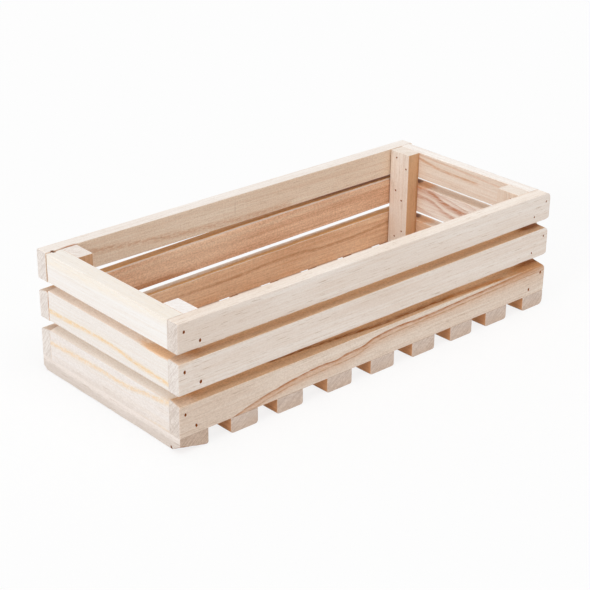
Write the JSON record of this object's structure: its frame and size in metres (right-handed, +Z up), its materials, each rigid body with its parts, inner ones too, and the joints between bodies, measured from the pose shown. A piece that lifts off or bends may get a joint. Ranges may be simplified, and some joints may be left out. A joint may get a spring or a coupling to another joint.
{
  "type": "slatted wooden display box",
  "caption": "Open-topped slatted wooden crate for display: rows of strips nailed to corner posts, standing on spaced cross strips that form both its floor and its feet.",
  "frame": {"origin": "centre of the footprint, on the surface that the floor slats stand on", "axes": "+X along the length towards the right end, +Y from the front towards the back, +Z up"},
  "size_m": [0.35, 0.155, 0.0912],
  "materials": {
    "side_wood": "unfinished pale softwood, sawn and lightly sanded, straight grain",
    "end_wood": "unfinished pale softwood, sanded smooth, with cream and honey streaks",
    "post_wood": "unfinished pale softwood, sawn end grain on top",
    "floor_wood": "unfinished pale softwood, sawn end grain at the front and back",
    "nail_steel": "plain steel brad, dulled, driven just below the wood"
  },
  "bodies": {
    "root": {"front_slat_top": "side_wood", "front_slat_middle": "side_wood", "front_slat_bottom": "side_wood", "back_slat_top": "side_wood", "back_slat_middle": "side_wood", "back_slat_bottom": "side_wood", "left_end_slat_top": "end_wood", "left_end_slat_middle": "end_wood", "left_end_slat_bottom": "end_wood", "right_end_slat_top": "end_wood", "right_end_slat_middle": "end_wood", "right_end_slat_bottom": "end_wood", "post_front_left": "post_wood", "post_front_right": "post_wood", "post_back_left": "post_wood", "post_back_right": "post_wood", "floor_slat_1": "floor_wood", "floor_slat_2": "floor_wood", "floor_slat_3": "floor_wood", "floor_slat_4": "floor_wood", "floor_slat_5": "floor_wood", "floor_slat_6": "floor_wood", "floor_slat_7": "floor_wood", "floor_slat_8": "floor_wood", "floor_slat_9": "floor_wood", "nail_front_top_left_corner": "nail_steel", "nail_front_top_left_post": "nail_steel", "nail_front_top_right_corner": "nail_steel", "nail_front_top_right_post": "nail_steel", "nail_front_middle_left_corner": "nail_steel", "nail_front_middle_left_post": "nail_steel", "nail_front_middle_right_corner": "nail_steel", "nail_front_middle_right_post": "nail_steel", "nail_front_bottom_left_corner": "nail_steel", "nail_front_bottom_left_post": "nail_steel", "nail_front_bottom_right_corner": "nail_steel", "nail_front_bottom_right_post": "nail_steel", "nail_back_top_left_corner": "nail_steel", "nail_back_top_left_post": "nail_steel", "nail_back_top_right_corner": "nail_steel", "nail_back_top_right_post": "nail_steel", "nail_back_middle_left_corner": "nail_steel", "nail_back_middle_left_post": "nail_steel", "nail_back_middle_right_corner": "nail_steel", "nail_back_middle_right_post": "nail_steel", "nail_back_bottom_left_corner": "nail_steel", "nail_back_bottom_left_post": "nail_steel", "nail_back_bottom_right_corner": "nail_steel", "nail_back_bottom_right_post": "nail_steel"}
  },
  "joints": []
}
